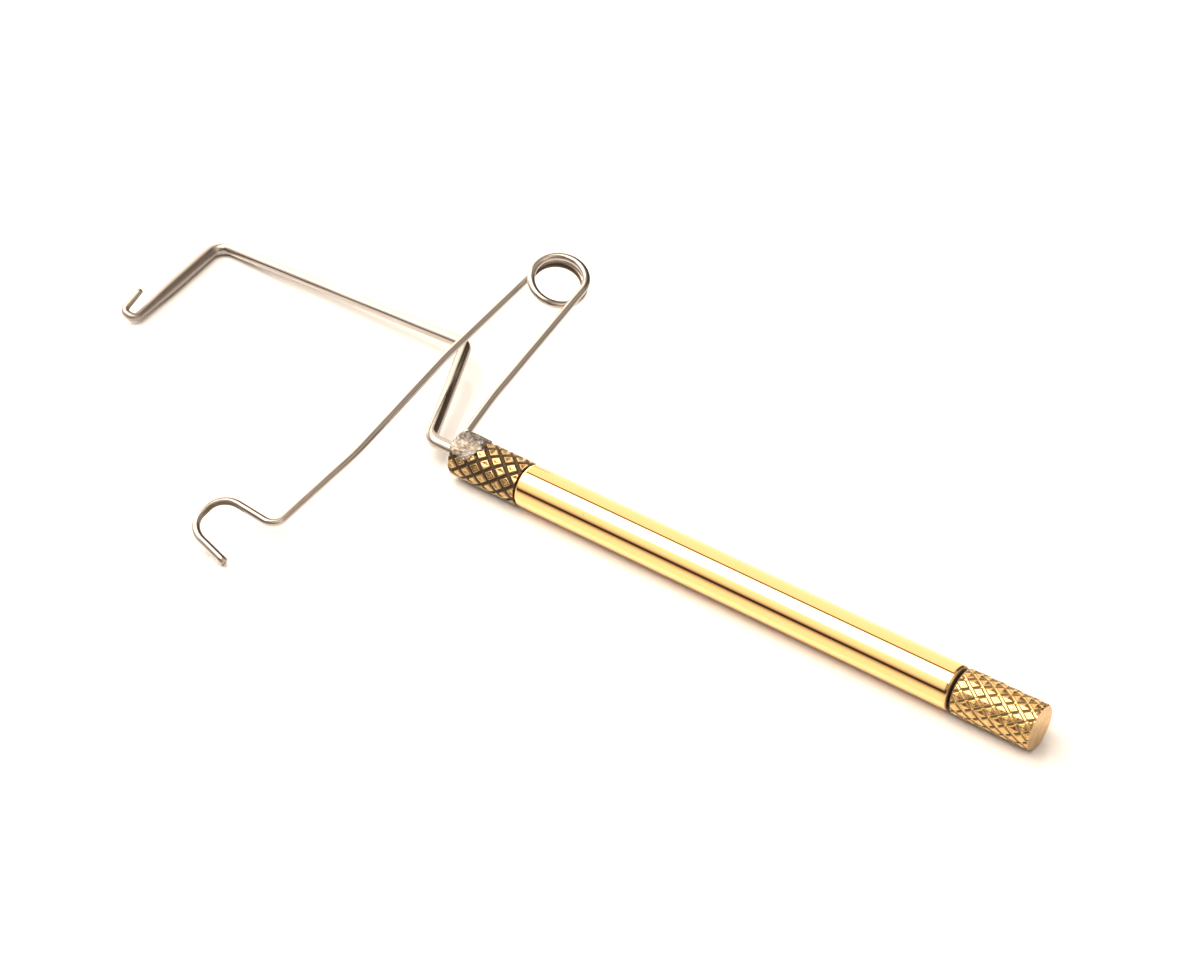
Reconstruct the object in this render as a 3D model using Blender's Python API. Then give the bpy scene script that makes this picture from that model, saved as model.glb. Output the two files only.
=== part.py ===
"""Whip finish tool for fly tying: knurled brass handle, fixed hook and sprung hook.

Metres, +Z up. The origin is the centre of the handle's butt face, +X runs along the
handle towards the hooks, and the tool lies on its side as it does on a table.
"""

import math

import bmesh
import bpy
from mathutils import Euler, Matrix, Vector

# Handle, along X from the butt face
KNOB_LENGTH = 0.0115
REAR_PLAY = 0.0004
SLEEVE_LENGTH = 0.0695
FRONT_PLAY = 0.0003
HEAD_LENGTH = 0.0114

# Handle, across X
SLEEVE_DIAMETER = 0.00635
SLEEVE_EDGE_RADIUS = 0.0005
SPINDLE_DIAMETER = 0.0040
SPINDLE_RUNNING_GAP = 0.0001
SPINDLE_PRESS_GAP = 0.0001
SPINDLE_TAIL_LENGTH = 0.0090
END_CHAMFER = 0.00025

# Knurls on the two ends: raised diamonds between crossed grooves
KNURL_DIAMETER = 0.0065
KNURL_DEPTH = 0.0003
KNURL_GROOVE_WIDTH = 0.0005
HEAD_KNURL_STARTS = 9
HEAD_DIAMOND_LENGTH = 0.00268
KNOB_KNURL_STARTS = 12
KNOB_DIAMOND_LENGTH = 0.0024

# Fixed hook, bent from one thick wire set in the head's front face
HOOK_WIRE_DIAMETER = 0.00198
HOOK_BORE_DEPTH = 0.0080
HOOK_SEAT_GAP = 0.0001
STUB_LENGTH = 0.0056
RISER_LEAN = 0.0093
RISER_LIFT = 0.0007
BAY_OFFSET = 0.0200
RUN_LENGTH = 0.0501
RUN_SPLAY = 0.0008
RETURN_LEAN = 0.0033
HOOK_PAST_AXIS = 0.00175
HOOK_WIDTH = 0.0023
HOOK_LIFT = 0.0007
TIP_LENGTH = 0.0041
TIP_LIFT = 0.0015
ARM_BEND_RADIUS = 0.0025
HOOK_BEND_RADIUS = 0.0010
TAPER_LENGTH = 0.0110
HOOK_TAPER = 0.67
TIP_TAPER = 0.49

# Torsion spring of thinner wire: leg, coil and hooked arm, drawn in the spring's own plane
SPRING_WIRE_DIAMETER = 0.0012
COIL_RADIUS = 0.00405
COIL_TURN_GAP = 0.0006
COIL_POINTS_PER_TURN = 9
WIRE_JOIN_GAP = 0.0003
LEG_LENGTH = 0.03171
LEG_SPLAY = math.radians(4.1)
OUT_BOW = 0.00036
OUT_BOW_REACH = 0.0209
IN_BOW = 0.00045
IN_BOW_REACH = 0.0423
NOTCH_OFFSET = 0.00028
NOTCH_REACH = 0.0591
CURL_LENGTH = 0.00873
CURL_SLANT = 0.0009
CURL_WIDTH = 0.00697
TAIL_LENGTH = 0.00737
TAIL_SLANT = 0.00097
BOW_BEND_RADIUS = 0.0400
NOTCH_BEND_RADIUS = 0.0020
CURL_BEND_RADIUS = 0.0032
SPRING_TILT = Euler((math.radians(-10.6), math.radians(-18.7), math.radians(3.1)))
ROOT_GAP = 0.0001
ROOT_SIDE = 0.00113
ROOT_HEIGHT = 0.0024

# Lump of solder over the head's front rim, which holds the spring's root against the front face
SOLDER_GAP = 0.0001
SOLDER_SETBACK = 0.0017
SOLDER_ANGLE = math.radians(100.0)
SOLDER_SINK = 0.00105
SOLDER_SIZE = Vector((0.0028, 0.0027, 0.0018))

# How finely round shapes are drawn
SLEEVE_SEGMENTS = 48
EDGE_SEGMENTS = 4
BEND_STEPS = 6
WIRE_BEVEL_STEPS = 4
COIL_BEVEL_STEPS = 1
CUTTER_SEGMENTS = 32
SOLDER_SUBDIVISIONS = 3
GAP_SAMPLES = 12
SHARP_EDGE = math.radians(30.0)

# Places along X and radii that follow from the sizes above
SLEEVE_START = KNOB_LENGTH + REAR_PLAY
SLEEVE_END = SLEEVE_START + SLEEVE_LENGTH
HEAD_START = SLEEVE_END + FRONT_PLAY
HEAD_FACE = HEAD_START + HEAD_LENGTH
KNURL_RADIUS = KNURL_DIAMETER / 2
GROOVE_RADIUS = KNURL_RADIUS - KNURL_DEPTH
END_FACE_RADIUS = KNURL_RADIUS - END_CHAMFER
SPINDLE_RADIUS = SPINDLE_DIAMETER / 2
SPINDLE_TAIL = KNOB_LENGTH - SPINDLE_TAIL_LENGTH
HOOK_WIRE_RADIUS = HOOK_WIRE_DIAMETER / 2
SPRING_WIRE_RADIUS = SPRING_WIRE_DIAMETER / 2
HOOK_BORE_RADIUS = HOOK_WIRE_RADIUS + HOOK_SEAT_GAP
COIL_PITCH = SPRING_WIRE_DIAMETER + COIL_TURN_GAP
COIL_START_ANGLE = math.pi + LEG_SPLAY
COIL_END_ANGLE = 4 * math.pi
COIL_TURNS = (COIL_END_ANGLE - COIL_START_ANGLE) / (2 * math.pi)
COIL_HALF_HEIGHT = COIL_PITCH * COIL_TURNS / 2


def remove_scene_objects():
    for item in list(bpy.data.objects):
        bpy.data.objects.remove(item, do_unlink=True)


def metal(name, colour, roughness):
    material = bpy.data.materials.new(name)
    material.use_nodes = True
    shader = material.node_tree.nodes["Principled BSDF"]
    shader.inputs["Base Color"].default_value = (*colour, 1.0)
    shader.inputs["Metallic"].default_value = 1.0
    shader.inputs["Roughness"].default_value = roughness
    return material


def add_object(name, data, material=None, parent=None):
    item = bpy.data.objects.new(name, data)
    bpy.context.collection.objects.link(item)
    item.parent = parent
    if material:
        data.materials.append(material)
    return item


def mesh_object(name, bm, material=None):
    """A closed mesh with its faces pointing out, shaded smooth between sharp edges."""
    bmesh.ops.recalc_face_normals(bm, faces=bm.faces)
    if bm.calc_volume(signed=True) < 0:
        bmesh.ops.reverse_faces(bm, faces=bm.faces)
    mesh = bpy.data.meshes.new(name)
    bm.to_mesh(mesh)
    bm.free()
    mesh.shade_smooth()
    mesh.set_sharp_from_angle(angle=SHARP_EDGE)
    return add_object(name, mesh, material)


def add_ring(bm, x, radius, count):
    """A ring of points round the X axis. One of them is straight below the axis."""
    ring = []
    for index in range(count):
        angle = 2 * math.pi * index / count - math.pi / 2
        ring.append(bm.verts.new((x, radius * math.cos(angle), radius * math.sin(angle))))
    return ring


def join_rings(bm, first, second):
    count = len(first)
    for index in range(count):
        after = (index + 1) % count
        bm.faces.new((first[index], first[after], second[after], second[index]))


def knurl_band(bm, start, end, starts, diamond_length):
    """Diamonds raised from the groove radius to the knurl radius. Returns the two end rings."""
    columns = 2 * starts
    rows = 2 * round((end - start) / diamond_length)
    rings = []
    for row in range(rows + 1):
        x = start + (end - start) * row / rows
        rings.append(add_ring(bm, x, GROOVE_RADIUS, columns))
    diamonds = []
    for row in range(rows + 1):
        for column in range(row % 2, columns, 2):
            left = rings[row][column - 1]
            right = rings[row][(column + 1) % columns]
            back = rings[max(row - 1, 0)][column]
            front = rings[min(row + 1, rows)][column]
            diamonds.append(bm.faces.new((back, right, front, left)))
    bm.normal_update()
    bmesh.ops.inset_individual(bm, faces=diamonds, thickness=KNURL_GROOVE_WIDTH / 2)
    for face in diamonds:
        for vert in face.verts:
            across = Vector((0, vert.co.y, vert.co.z))
            vert.co += across.normalized() * (KNURL_RADIUS - across.length)
    loose = [vert for ring in rings[1:-1] for vert in ring if not vert.link_faces]
    bmesh.ops.delete(bm, geom=loose, context="VERTS")
    return rings[0], rings[-1]


def make_head_spindle(material):
    """Front head and the spindle behind it, turned from one bar."""
    columns = 2 * HEAD_KNURL_STARTS
    bm = bmesh.new()
    tail = add_ring(bm, SPINDLE_TAIL, SPINDLE_RADIUS, columns)
    shoulder = add_ring(bm, HEAD_START, SPINDLE_RADIUS, columns)
    back_edge = add_ring(bm, HEAD_START, END_FACE_RADIUS, columns)
    band_back, band_front = knurl_band(
        bm,
        HEAD_START + END_CHAMFER,
        HEAD_FACE - END_CHAMFER,
        HEAD_KNURL_STARTS,
        HEAD_DIAMOND_LENGTH,
    )
    face_edge = add_ring(bm, HEAD_FACE, END_FACE_RADIUS, columns)
    bore_mouth = add_ring(bm, HEAD_FACE, HOOK_BORE_RADIUS, columns)
    bore_end = add_ring(bm, HEAD_FACE - HOOK_BORE_DEPTH, HOOK_BORE_RADIUS, columns)
    bm.faces.new(tail)
    for first, second in (
        (tail, shoulder),
        (shoulder, back_edge),
        (back_edge, band_back),
        (band_front, face_edge),
        (face_edge, bore_mouth),
        (bore_mouth, bore_end),
    ):
        join_rings(bm, first, second)
    bm.faces.new(bore_end)
    return mesh_object("head_spindle", bm, material)


def make_rear_knob(material):
    """Knurled knob pressed on the spindle's tail, closed by the flat butt face."""
    columns = 2 * KNOB_KNURL_STARTS
    bore_radius = SPINDLE_RADIUS + SPINDLE_PRESS_GAP
    bm = bmesh.new()
    butt = add_ring(bm, 0.0, END_FACE_RADIUS, columns)
    band_back, band_front = knurl_band(
        bm,
        END_CHAMFER,
        KNOB_LENGTH - END_CHAMFER,
        KNOB_KNURL_STARTS,
        KNOB_DIAMOND_LENGTH,
    )
    face_edge = add_ring(bm, KNOB_LENGTH, END_FACE_RADIUS, columns)
    bore_mouth = add_ring(bm, KNOB_LENGTH, bore_radius, columns)
    bore_end = add_ring(bm, SPINDLE_TAIL - SPINDLE_PRESS_GAP, bore_radius, columns)
    bm.faces.new(butt)
    for first, second in (
        (butt, band_back),
        (band_front, face_edge),
        (face_edge, bore_mouth),
        (bore_mouth, bore_end),
    ):
        join_rings(bm, first, second)
    bm.faces.new(bore_end)
    return mesh_object("rear_knob", bm, material)


def make_grip_sleeve(material):
    """Polished tube that turns freely on the spindle. Its origin is on the spindle's axis."""
    outer = SLEEVE_DIAMETER / 2
    bore = SPINDLE_RADIUS + SPINDLE_RUNNING_GAP
    edge = SLEEVE_EDGE_RADIUS
    profile = [(0.0, bore)]
    for index in range(EDGE_SEGMENTS + 1):
        angle = math.pi / 2 * index / EDGE_SEGMENTS
        profile.append((edge * (1 - math.cos(angle)), outer - edge * (1 - math.sin(angle))))
    for index in range(EDGE_SEGMENTS + 1):
        angle = math.pi / 2 * index / EDGE_SEGMENTS
        x = SLEEVE_LENGTH - edge * (1 - math.sin(angle))
        profile.append((x, outer - edge * (1 - math.cos(angle))))
    profile.append((SLEEVE_LENGTH, bore))
    bm = bmesh.new()
    rings = [add_ring(bm, x, radius, SLEEVE_SEGMENTS) for x, radius in profile]
    for first, second in zip(rings, rings[1:] + rings[:1]):
        join_rings(bm, first, second)
    sleeve = mesh_object("grip_sleeve", bm, material)
    sleeve.location.x = SLEEVE_START
    return sleeve


def rounded_route(corners, radii):
    """The corners of a wire joined by straight runs, with an arc of the given radius at each."""
    route = [corners[0]]
    for before, corner, after, radius in zip(corners, corners[1:], corners[2:], radii):
        arrive = (corner - before).normalized()
        leave = (after - corner).normalized()
        turn = arrive.angle(leave)
        inward = (leave - arrive).normalized()
        centre = corner + inward * (radius / math.cos(turn / 2))
        first = corner - arrive * (radius * math.tan(turn / 2)) - centre
        axis = arrive.cross(leave)
        for step in range(BEND_STEPS + 1):
            route.append(centre + Matrix.Rotation(turn * step / BEND_STEPS, 3, axis) @ first)
    route.append(corners[-1])
    return route


def wire_object(name, route, radius, bevel, material, parent=None, shares=None):
    """A round wire along the route. Shares thin it from point to point."""
    curve = bpy.data.curves.new(name, "CURVE")
    curve.dimensions = "3D"
    curve.bevel_depth = radius
    curve.bevel_resolution = bevel
    curve.use_fill_caps = True
    spline = curve.splines.new("POLY")
    spline.points.add(len(route) - 1)
    for index, place in enumerate(route):
        spline.points[index].co = (*place, 1.0)
        if shares:
            spline.points[index].radius = shares[index]
    return add_object(name, curve, material, parent)


def hook_corners():
    """Corners of the fixed hook's wire, from its root in the head to its tip."""
    root = Vector((HEAD_FACE - HOOK_BORE_DEPTH + HOOK_SEAT_GAP, 0, 0))
    stub = Vector((HEAD_FACE + STUB_LENGTH, 0, 0))
    riser = stub + Vector((RISER_LEAN, -BAY_OFFSET, RISER_LIFT))
    rest_height = HOOK_WIRE_RADIUS - KNURL_RADIUS
    far = Vector((riser.x + RUN_LENGTH, riser.y - RUN_SPLAY, rest_height))
    turn = Vector((far.x - RETURN_LEAN, HOOK_PAST_AXIS, rest_height))
    back = turn + Vector((HOOK_WIDTH, 0, HOOK_LIFT))
    tip = back + Vector((0, -TIP_LENGTH, TIP_LIFT))
    return [root, stub, riser, far, turn, back, tip]


def taper_shares(route, turn_corner):
    """Full thickness up to the taper, then thinner to the hook's turn and thinner to its tip."""
    shares = []
    turn_index = min(range(len(route)), key=lambda index: (route[index] - turn_corner).length)
    to_tip = sum((b - a).length for a, b in zip(route[turn_index:], route[turn_index + 1:]))
    run = 0.0
    for place, before in zip(reversed(route), [None] + list(reversed(route))):
        if before:
            run += (place - before).length
        if run < to_tip:
            share = TIP_TAPER + (HOOK_TAPER - TIP_TAPER) * run / to_tip
        else:
            share = HOOK_TAPER + (1 - HOOK_TAPER) * min((run - to_tip) / TAPER_LENGTH, 1)
        shares.append(share)
    return shares[::-1]


def make_hook_arm(material):
    corners = hook_corners()
    far, turn = corners[3], corners[4]
    taper_start = turn + (far - turn).normalized() * TAPER_LENGTH
    radii = [ARM_BEND_RADIUS] * 3 + [HOOK_BEND_RADIUS] * 2
    route = rounded_route(corners, radii)
    before_turn = 1 + 3 * (BEND_STEPS + 1)
    route.insert(before_turn, taper_start)
    shares = taper_shares(route, turn)
    return wire_object("hook_arm", route, HOOK_WIRE_RADIUS, WIRE_BEVEL_STEPS, material, shares=shares)


def leg_ends():
    """The leg's tangent point on the coil and its root, in the spring's own frame."""
    tangent = Vector((
        COIL_RADIUS * math.cos(COIL_START_ANGLE),
        COIL_RADIUS * math.sin(COIL_START_ANGLE),
        COIL_HALF_HEIGHT,
    ))
    along = Vector((-math.sin(LEG_SPLAY), math.cos(LEG_SPLAY), 0))
    return tangent, along, tangent + along * LEG_LENGTH


def make_spring_centre():
    """An empty at the coil's centre, on the axis that the arm flexes about."""
    root = Vector((HEAD_FACE + ROOT_GAP + SPRING_WIRE_RADIUS, -ROOT_SIDE, ROOT_HEIGHT))
    centre = add_object("spring_centre", None)
    centre.rotation_euler = SPRING_TILT
    centre.location = root - SPRING_TILT.to_matrix() @ leg_ends()[2]
    return centre


def coil_route():
    """Straight end, helix from the leg's layer down to the arm's, straight end."""
    tangent, along, _ = leg_ends()
    steps = round(COIL_TURNS * COIL_POINTS_PER_TURN)
    route = [tangent + along * SPRING_WIRE_DIAMETER]
    for step in range(steps + 1):
        share = step / steps
        angle = COIL_START_ANGLE + (COIL_END_ANGLE - COIL_START_ANGLE) * share
        height = COIL_HALF_HEIGHT * (1 - 2 * share)
        route.append(Vector((COIL_RADIUS * math.cos(angle), COIL_RADIUS * math.sin(angle), height)))
    route.append(route[-1] + Vector((0, SPRING_WIRE_DIAMETER, 0)))
    return route


def least_gap(route, diameter, skipped_length):
    """Smallest clear space between stretches of one wire that lie apart along it."""
    samples = []
    run = 0.0
    for first, second in zip(route, route[1:]):
        for index in range(GAP_SAMPLES):
            share = index / GAP_SAMPLES
            samples.append((run + (second - first).length * share, first.lerp(second, share)))
        run += (second - first).length
    nearest = min(
        (place - other).length
        for index, (along, place) in enumerate(samples)
        for further, other in samples[index:]
        if further - along > skipped_length
    )
    return nearest - diameter


def make_spring_coil(material, centre):
    route = coil_route()
    gap = least_gap(route, SPRING_WIRE_DIAMETER, math.pi * COIL_RADIUS)
    print(f"spring coil: least gap to itself {gap * 1000:.3f} mm")
    return wire_object("spring_coil", route, SPRING_WIRE_RADIUS, COIL_BEVEL_STEPS, material, centre)


def make_spring_leg(material, centre):
    tangent, along, root = leg_ends()
    start = tangent + along * (SPRING_WIRE_DIAMETER + WIRE_JOIN_GAP)
    return wire_object("spring_leg", [start, root], SPRING_WIRE_RADIUS, WIRE_BEVEL_STEPS, material, centre)


def make_spring_arm(material, centre):
    """Slightly bowed arm with a notch and a curled hook at its end, turning about the coil's centre."""
    layer = -COIL_HALF_HEIGHT
    notch_side = COIL_RADIUS + NOTCH_OFFSET
    curl_side = notch_side + CURL_LENGTH
    curl_start = NOTCH_REACH + CURL_SLANT
    curl_end = curl_start + CURL_WIDTH
    corners = [
        Vector((COIL_RADIUS, SPRING_WIRE_DIAMETER + WIRE_JOIN_GAP, layer)),
        Vector((COIL_RADIUS + OUT_BOW, OUT_BOW_REACH, layer)),
        Vector((COIL_RADIUS - IN_BOW, IN_BOW_REACH, layer)),
        Vector((notch_side, NOTCH_REACH, layer)),
        Vector((curl_side, curl_start, layer)),
        Vector((curl_side, curl_end, layer)),
        Vector((curl_side - TAIL_LENGTH, curl_end + TAIL_SLANT, layer)),
    ]
    radii = [BOW_BEND_RADIUS] * 2 + [NOTCH_BEND_RADIUS] + [CURL_BEND_RADIUS] * 2
    route = rounded_route(corners, radii)
    return wire_object("spring_arm", route, SPRING_WIRE_RADIUS, WIRE_BEVEL_STEPS, material, centre)


def rod_cutter(name, start, end, radius):
    """A plain round bar between two points, used only to cut."""
    bm = bmesh.new()
    bmesh.ops.create_cone(
        bm,
        cap_ends=True,
        segments=CUTTER_SEGMENTS,
        radius1=radius,
        radius2=radius,
        depth=(end - start).length,
    )
    turn = Vector((0, 0, 1)).rotation_difference(end - start).to_matrix().to_4x4()
    bm.transform(Matrix.Translation((start + end) / 2) @ turn)
    cutter = mesh_object(name, bm)
    cutter.hide_render = True
    cutter.display_type = "WIRE"
    return cutter


def make_solder_joint(material, centre):
    """Lump on the head's top front rim, cut clear of the head and of both wires."""
    tangent, along, root = leg_ends()
    to_world = centre.matrix_world
    head_cutter = rod_cutter(
        "head_cutter",
        Vector((HEAD_START, 0, 0)),
        Vector((HEAD_FACE + SOLDER_GAP, 0, 0)),
        KNURL_RADIUS + SOLDER_GAP,
    )
    leg_cutter = rod_cutter(
        "leg_cutter",
        to_world @ (root + along * SOLDER_GAP),
        to_world @ tangent,
        SPRING_WIRE_RADIUS + SOLDER_GAP,
    )
    stub_cutter = rod_cutter(
        "stub_cutter",
        Vector((HEAD_FACE, 0, 0)),
        Vector((HEAD_FACE + STUB_LENGTH, 0, 0)),
        HOOK_WIRE_RADIUS + SOLDER_GAP,
    )
    bm = bmesh.new()
    bmesh.ops.create_icosphere(bm, subdivisions=SOLDER_SUBDIVISIONS, radius=1.0)
    lean = Matrix.Rotation(SOLDER_ANGLE - math.pi / 2, 4, "X")
    place = Matrix.Translation((HEAD_FACE - SOLDER_SETBACK, 0, KNURL_RADIUS - SOLDER_SINK))
    bm.transform(lean @ place @ Matrix.Diagonal(SOLDER_SIZE).to_4x4())
    solder = mesh_object("solder_joint", bm, material)
    for cutter in (head_cutter, leg_cutter, stub_cutter):
        cut = solder.modifiers.new(cutter.name, "BOOLEAN")
        cut.operation = "DIFFERENCE"
        cut.object = cutter
    return solder


def main():
    remove_scene_objects()
    make_head_spindle(metal("aged_brass", (0.52, 0.36, 0.14), 0.35))
    make_rear_knob(metal("worn_brass", (0.68, 0.50, 0.24), 0.38))
    make_grip_sleeve(metal("polished_brass", (0.85, 0.62, 0.24), 0.12))
    make_hook_arm(metal("bright_steel", (0.66, 0.63, 0.60), 0.15))
    centre = make_spring_centre()
    bpy.context.view_layer.update()
    make_spring_leg(metal("leg_steel", (0.62, 0.60, 0.57), 0.25), centre)
    make_spring_coil(metal("coil_steel", (0.62, 0.60, 0.57), 0.25), centre)
    make_spring_arm(metal("arm_steel", (0.62, 0.60, 0.57), 0.25), centre)
    make_solder_joint(metal("grey_solder", (0.55, 0.53, 0.50), 0.55), centre)


main()
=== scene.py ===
"""Looks of the whip finish tool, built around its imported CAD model. Metres, +Z up."""

import math

import bmesh
import bpy
from mathutils import Euler, Matrix, Vector, noise


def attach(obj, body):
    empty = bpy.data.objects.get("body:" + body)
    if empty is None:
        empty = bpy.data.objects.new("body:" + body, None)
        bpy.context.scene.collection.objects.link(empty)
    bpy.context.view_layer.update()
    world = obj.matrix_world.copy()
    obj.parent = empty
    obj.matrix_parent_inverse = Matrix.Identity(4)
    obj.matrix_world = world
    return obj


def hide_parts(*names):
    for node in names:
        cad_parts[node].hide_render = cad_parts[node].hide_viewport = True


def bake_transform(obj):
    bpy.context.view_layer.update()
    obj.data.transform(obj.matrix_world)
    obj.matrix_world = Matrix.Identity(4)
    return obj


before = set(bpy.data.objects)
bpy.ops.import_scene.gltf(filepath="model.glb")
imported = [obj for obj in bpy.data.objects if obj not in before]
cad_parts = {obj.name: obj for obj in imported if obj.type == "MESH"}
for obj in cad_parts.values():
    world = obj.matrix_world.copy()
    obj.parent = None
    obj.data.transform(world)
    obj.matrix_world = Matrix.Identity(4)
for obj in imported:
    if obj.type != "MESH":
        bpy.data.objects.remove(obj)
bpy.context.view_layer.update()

# Camera fitted to the photo
CAMERA_PLACE = Vector((-0.1086176, 0.2401945, 0.2496908))
CAMERA_AZIMUTH = math.radians(216.448)
CAMERA_ELEVATION = math.radians(39.1086)
CAMERA_LENS = 85.32
CAMERA_SENSOR = 36.0
CAMERA_NEAREST = 0.01

# Handle, the same sizes as the CAD model
KNOB_LENGTH = 0.0115
SLEEVE_START = 0.0119
SLEEVE_END = 0.0814
HEAD_START = 0.0817
HEAD_FACE = 0.0931
SLEEVE_RADIUS = 0.003175
SLEEVE_BORE = 0.0021
SLEEVE_EDGE = 0.0005
SPINDLE_RADIUS = 0.0020
SPINDLE_TAIL = 0.0025
SPINDLE_GAP = 0.0001
KNURL_RADIUS = 0.00325
KNURL_DEPTH = 0.0003
END_CHAMFER = 0.00025
HOOK_BORE_RADIUS = 0.00109
HOOK_BORE_DEPTH = 0.0080
HOOK_SEAT_GAP = 0.0001

# Rings of points this far from the sleeve's ends keep the shading of its long side straight
SLEEVE_SIDE = 0.0007
# The sleeve's rear end carries painted shade and a painted dark reflection by the gap to the knob, full
# up to the first distance and gone at the second
REAR_SHADE_FULL = 0.00008
REAR_SHADE_GONE = 0.00028
# The head's skin reaches back from the CAD head to leave only a thin gap to the sleeve
HEAD_REACH = 0.0002
# Fine unevenness of the knurls: its depth, and how fine it is along and round the handle
UNEVEN_DEPTH = 0.000012
UNEVEN_ALONG = 1700.0
UNEVEN_ROUND = 5.4
# Painted shade on the parts in the gaps beside the knurls, dirt with painted shade on the head's front
# face and bore, and dirt on the walls of clean grooves, where 1 is the bottom of a dirty groove
GAP_SHADE = 2.0
FACE_DIRT_AND_SHADE = 0.5
WALL_DIRT = 0.75

# Fixed hook, the same sizes as the CAD model
HOOK_WIRE_RADIUS = 0.00099
STUB_LENGTH = 0.0056
RISER_LEAN = 0.0093
RISER_LIFT = 0.0007
BAY_OFFSET = 0.0200
RUN_LENGTH = 0.0501
RUN_SPLAY = 0.0008
RETURN_LEAN = 0.0033
HOOK_PAST_AXIS = 0.00175
HOOK_WIDTH = 0.0023
HOOK_LIFT = 0.0007
TIP_LENGTH = 0.0041
TIP_LIFT = 0.0015
ARM_BEND_RADIUS = 0.0025
HOOK_BEND_RADIUS = 0.0010
TAPER_LENGTH = 0.0110
HOOK_TAPER = 0.67
TIP_TAPER = 0.49

# Torsion spring, the same sizes as the CAD model, drawn in its own frame
SPRING_WIRE_RADIUS = 0.0006
COIL_RADIUS = 0.00405
COIL_PITCH = 0.0018
LEG_LENGTH = 0.03171
LEG_SPLAY = math.radians(4.1)
OUT_BOW = 0.00036
OUT_BOW_REACH = 0.0209
IN_BOW = 0.00045
IN_BOW_REACH = 0.0423
NOTCH_OFFSET = 0.00028
NOTCH_REACH = 0.0591
CURL_LENGTH = 0.00873
CURL_SLANT = 0.0009
CURL_WIDTH = 0.00697
TAIL_LENGTH = 0.00737
TAIL_SLANT = 0.00097
BOW_BEND_RADIUS = 0.0400
NOTCH_BEND_RADIUS = 0.0020
CURL_BEND_RADIUS = 0.0032
SPRING_TILT = Euler((math.radians(-10.6), math.radians(-18.7), math.radians(3.1)))
ROOT_GAP = 0.0001
ROOT_SIDE = 0.00113
ROOT_HEIGHT = 0.0024
SPRING_ROOT = Vector((HEAD_FACE + ROOT_GAP + SPRING_WIRE_RADIUS, -ROOT_SIDE, ROOT_HEIGHT))
COIL_START = math.pi + LEG_SPLAY
COIL_END = 4 * math.pi
COIL_HALF_HEIGHT = COIL_PITCH * (COIL_END - COIL_START) / (4 * math.pi)

# The leg's last stretch bends in towards the head
ROOT_BEND = 0.00055
ROOT_BEND_LENGTH = 0.0085
ROOT_BEND_POWER = 1.2
# Painted shade on the spring's wire: depths inside its bends, and below the middle of the coil
COIL_SHADE_INSIDE = (0.00010, 0.00035)
COIL_SHADE_BELOW = (0.0, 0.0004)
CURL_SHADE_INSIDE = (-0.00005, 0.00025)
CURL_SHADE_LEVEL = 0.9

# Solder: a lump on the head's front rim, and a fillet round the spring's root
SOLDER_LEAN = math.radians(94.0) - math.pi / 2
SOLDER_SIZE = Vector((0.0031, 0.0029, 0.0018))
SOLDER_SETBACK = 0.0017
SOLDER_SINK = 0.00105
SOLDER_PAST_FACE = 0.00025
SOLDER_ABOVE_KNURL = 0.00020
FILLET_SIZE = (0.00055, 0.00090, 0.00080)
FILLET_SHIFT = Vector((-0.0004, 0.0003, -0.0002))
FILLET_FULLNESS = 1.05
# Their uneven swelling, as pairs of how strong and how fine
SOLDER_SWELL = ((0.16, 2.6), (0.10, 7.0))
SOLDER_BUMPS = ((0.4, 5.0), (0.4, 13.0))
FILLET_SWELL = ((0.14, 2.1), (0.10, 6.0))

# How finely the pieces are drawn
SLEEVE_SIDES = 192
EDGE_STEPS = 8
HEAD_COLUMNS = 320
HEAD_ROWS = 170
KNOB_COLUMNS = 408
KNOB_ROWS = 216
HOOK_SIDES = 32
HOOK_SPACING = 0.0006
SPRING_SIDES = 24
SPRING_SPACING = 0.001
BEND_STEPS = 16
COIL_STEPS = 90
# Share of a wire's radius that the chamfer on its ends takes
WIRE_CHAMFER = 0.18
MILLIMETRES = 1000

# Colours of the polished brass, of the painted shade and dark reflection at the sleeve's rear end, of the
# painted shade in the spring's bends and of the solder
BRASS_LIGHT = (0.92, 0.585, 0.256)
BRASS_DEEP = (0.87, 0.55, 0.236)
BRASS_PIT = (0.33, 0.22, 0.11)
BRASS_REAR_SHADE = (0.09, 0.063, 0.036)
PAINTED_SHADE_COLOUR = (0.06, 0.04, 0.022)
SOLDER_LIGHT = (0.30, 0.29, 0.27)
SOLDER_DARK = (0.105, 0.095, 0.085)
SOLDER_FLECK = (0.42, 0.29, 0.15)

# Pale satin floor that the tool lies on
FLOOR_HEIGHT = -KNURL_RADIUS
FLOOR_SIZE = 3.0
FLOOR_COLOUR = (0.68, 0.68, 0.68, 1.0)
FLOOR_ROUGHNESS = 0.10
FLOOR_GLOSS = 1.0

# All the light in the photo is warm
WARMTH = (1.0, 0.86, 0.74)

# How bright the room is, as pairs of place and level. The place goes from 0 at the horizon in front, on
# the camera's side, over the top to 1 at the horizon behind.
BEYOND_HOOKS = (
    (0.0, 0.03),
    (0.049, 0.02),
    (0.072, 0.30),
    (0.135, 0.76),
    (0.21, 0.92),
    (0.31, 1.0),
    (0.560, 0.92),
    (0.572, 0.14),
    (0.602, 0.14),
    (0.620, 0.86),
    (1.0, 0.94),
)
ACROSS_MIDDLE = (
    (0.0, 0.04),
    (0.085, 0.05),
    (0.13, 0.25),
    (0.60, 0.25),
    (0.655, 0.34),
    (1.0, 0.34),
)
BEYOND_KNOB = (
    (0.0, 0.05),
    (0.05, 0.06),
    (0.10, 0.20),
    (0.25, 0.28),
    (0.40, 0.72),
    (0.54, 0.72),
    (0.64, 0.38),
    (0.80, 0.28),
    (0.94, 0.20),
    (0.98, 0.06),
)
CARD_LEVEL = 1.6
DOORWAY_COLOUR = (0.06, 0.045, 0.03)
ROOM_STRENGTH = 2.0
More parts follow.
